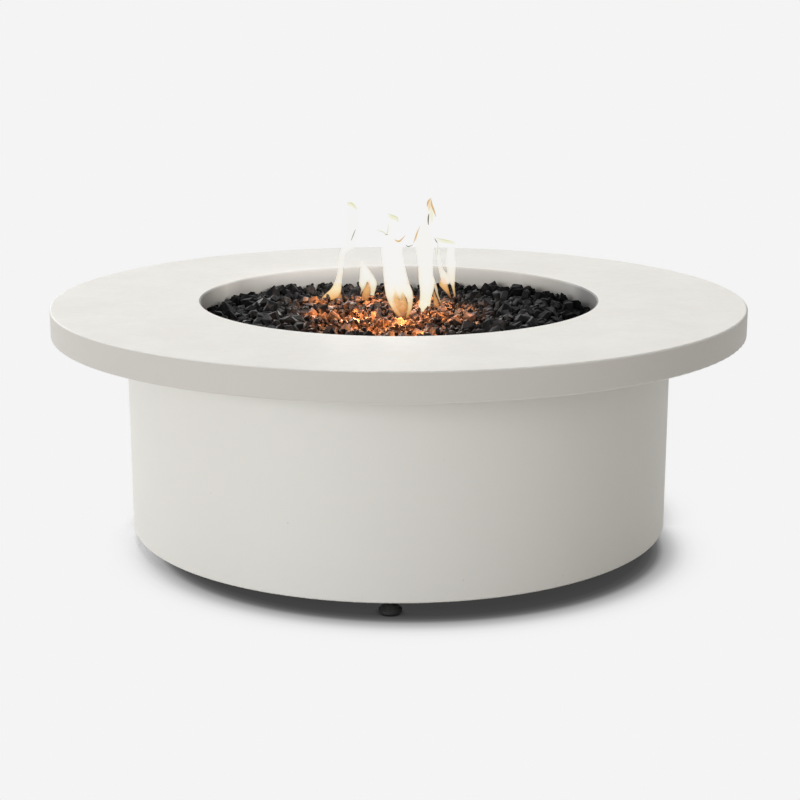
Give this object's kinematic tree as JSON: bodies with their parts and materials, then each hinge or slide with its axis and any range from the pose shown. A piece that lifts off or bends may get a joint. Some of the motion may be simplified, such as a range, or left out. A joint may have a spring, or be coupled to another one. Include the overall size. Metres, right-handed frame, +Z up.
{
  "type": "gas fire pit table",
  "caption": "Low round concrete table with an overhanging slab on a drum, a gas burner under lava rock in its middle, and a service door, knob and levelling feet.",
  "frame": {"origin": "centre of the floor under the table, where the feet rest", "axes": "+Z up along the axis of the round table, -Y towards the viewer of the picture, +Y towards the service door"},
  "size_m": [1.168, 1.168, 0.406],
  "materials": {
    "concrete": "matte",
    "lava_rock": "matte",
    "stainless_sheet": "satin",
    "burner_steel": "satin",
    "zinc_steel": "satin",
    "brass": "satin",
    "black_plastic": "satin",
    "black_rubber": "matte",
    "yellow_handle": "satin",
    "black_steel": "satin",
    "white_ceramic": "satin",
    "red_silicone": "matte",
    "yellow_hose": "satin",
    "copper": "satin",
    "magnet_nickel": "satin"
  },
  "bodies": {
    "table": {"table_top": "concrete", "base_drum": "concrete", "burner_pan": "stainless_sheet", "lava_rock_bed": "lava_rock", "lava_rock_top": "lava_rock", "ring_burner": "burner_steel", "burner_nipple": "burner_steel", "burner_locknut": "brass", "air_mixer": "brass", "burner_hose": "burner_steel", "supply_hose": "yellow_hose", "gas_valve_body": "brass", "valve_panel_nut": "brass", "control_panel": "stainless_sheet", "igniter_body": "black_plastic", "igniter_ring_nut": "magnet_nickel", "igniter_wire": "red_silicone", "spark_electrode": "burner_steel", "electrode_insulator": "white_ceramic", "electrode_holder": "stainless_sheet", "thermocouple": "copper", "thermocouple_holder": "stainless_sheet", "shutoff_valve_body": "brass", "shutoff_lever_nut": "zinc_steel", "shutoff_bracket": "zinc_steel", "gas_inlet_fitting": "brass", "door_magnet": "magnet_nickel", "hinge_lower_drum_leaf": "zinc_steel", "hinge_upper_drum_leaf": "zinc_steel", "hinge_lower_pin": "zinc_steel", "hinge_upper_pin": "zinc_steel", "vent_cover_left": "stainless_sheet", "vent_cover_right": "stainless_sheet", "wall_screws": "zinc_steel", "foot_inserts": "zinc_steel", "slab_brackets": "zinc_steel", "bracket_bolts": "zinc_steel"},
    "door": {"access_door": "concrete", "door_pull": "stainless_sheet", "door_striker": "zinc_steel", "door_screws": "zinc_steel", "hinge_lower_door_leaf": "zinc_steel", "hinge_upper_door_leaf": "zinc_steel"},
    "valve_push": {"valve_plunger": "zinc_steel"},
    "knob": {"valve_stem": "zinc_steel", "control_knob": "black_plastic"},
    "igniter_push": {"igniter_button": "black_plastic"},
    "shutoff": {"shutoff_lever": "yellow_handle"},
    "pad_1": {"foot_pad_1": "black_rubber"},
    "stud_1": {"foot_stud_1": "black_steel"},
    "pad_2": {"foot_pad_2": "black_rubber"},
    "stud_2": {"foot_stud_2": "black_steel"},
    "pad_3": {"foot_pad_3": "black_rubber"},
    "stud_3": {"foot_stud_3": "black_steel"},
    "pad_4": {"foot_pad_4": "black_rubber"},
    "stud_4": {"foot_stud_4": "black_steel"}
  },
  "joints": [
    {"name": "door_hinge", "type": "hinge", "parent": "table", "child": "door", "pos_m": [-0.16294, 0.43584, 0.19], "axis": [0, 0, 1], "range_deg": [0, 110]},
    {"name": "knob_push", "type": "slide", "parent": "table", "child": "valve_push", "axis": [-0.6884, -0.7254, 0], "range_m": [0, 0.004], "stiffness_N_per_m": 1500, "springref_m": -0.002},
    {"name": "knob_turn", "type": "hinge", "parent": "valve_push", "child": "knob", "pos_m": [0.31664, 0.33367, 0.235], "axis": [0.6884, 0.7254, 0], "range_deg": [-90, 90]},
    {"name": "igniter_press", "type": "slide", "parent": "table", "child": "igniter_push", "axis": [-0.5736, -0.8192, 0], "range_m": [0, 0.004], "stiffness_N_per_m": 1000, "springref_m": -0.002},
    {"name": "shutoff_turn", "type": "hinge", "parent": "table", "child": "shutoff", "pos_m": [0.33857, 0.18962, 0.106], "axis": [0.8725, 0.4886, 0], "range_deg": [0, 90]},
    {"name": "foot_height_1", "type": "slide", "parent": "table", "child": "pad_1", "axis": [0, 0, -1], "range_m": [0, 0.015]},
    {"name": "foot_screw_1", "type": "hinge", "parent": "pad_1", "child": "stud_1", "pos_m": [0.438, 0, 0.02], "axis": [0, 0, -1], "range_deg": [0, 3600]},
    {"name": "foot_height_2", "type": "slide", "parent": "table", "child": "pad_2", "axis": [0, 0, -1], "range_m": [0, 0.015]},
    {"name": "foot_screw_2", "type": "hinge", "parent": "pad_2", "child": "stud_2", "pos_m": [0, 0.438, 0.02], "axis": [0, 0, -1], "range_deg": [0, 3600]},
    {"name": "foot_height_3", "type": "slide", "parent": "table", "child": "pad_3", "axis": [0, 0, -1], "range_m": [0, 0.015]},
    {"name": "foot_screw_3", "type": "hinge", "parent": "pad_3", "child": "stud_3", "pos_m": [-0.438, 0, 0.02], "axis": [0, 0, -1], "range_deg": [0, 3600]},
    {"name": "foot_height_4", "type": "slide", "parent": "table", "child": "pad_4", "axis": [0, 0, -1], "range_m": [0, 0.015]},
    {"name": "foot_screw_4", "type": "hinge", "parent": "pad_4", "child": "stud_4", "pos_m": [0, -0.438, 0.02], "axis": [0, 0, -1], "range_deg": [0, 3600]}
  ],
  "couplings": [
    {"joint": "foot_screw_1", "follows": "foot_height_1", "rad_per_m": 4188.8},
    {"joint": "foot_screw_2", "follows": "foot_height_2", "rad_per_m": 4188.8},
    {"joint": "foot_screw_3", "follows": "foot_height_3", "rad_per_m": 4188.8},
    {"joint": "foot_screw_4", "follows": "foot_height_4", "rad_per_m": 4188.8}
  ]
}
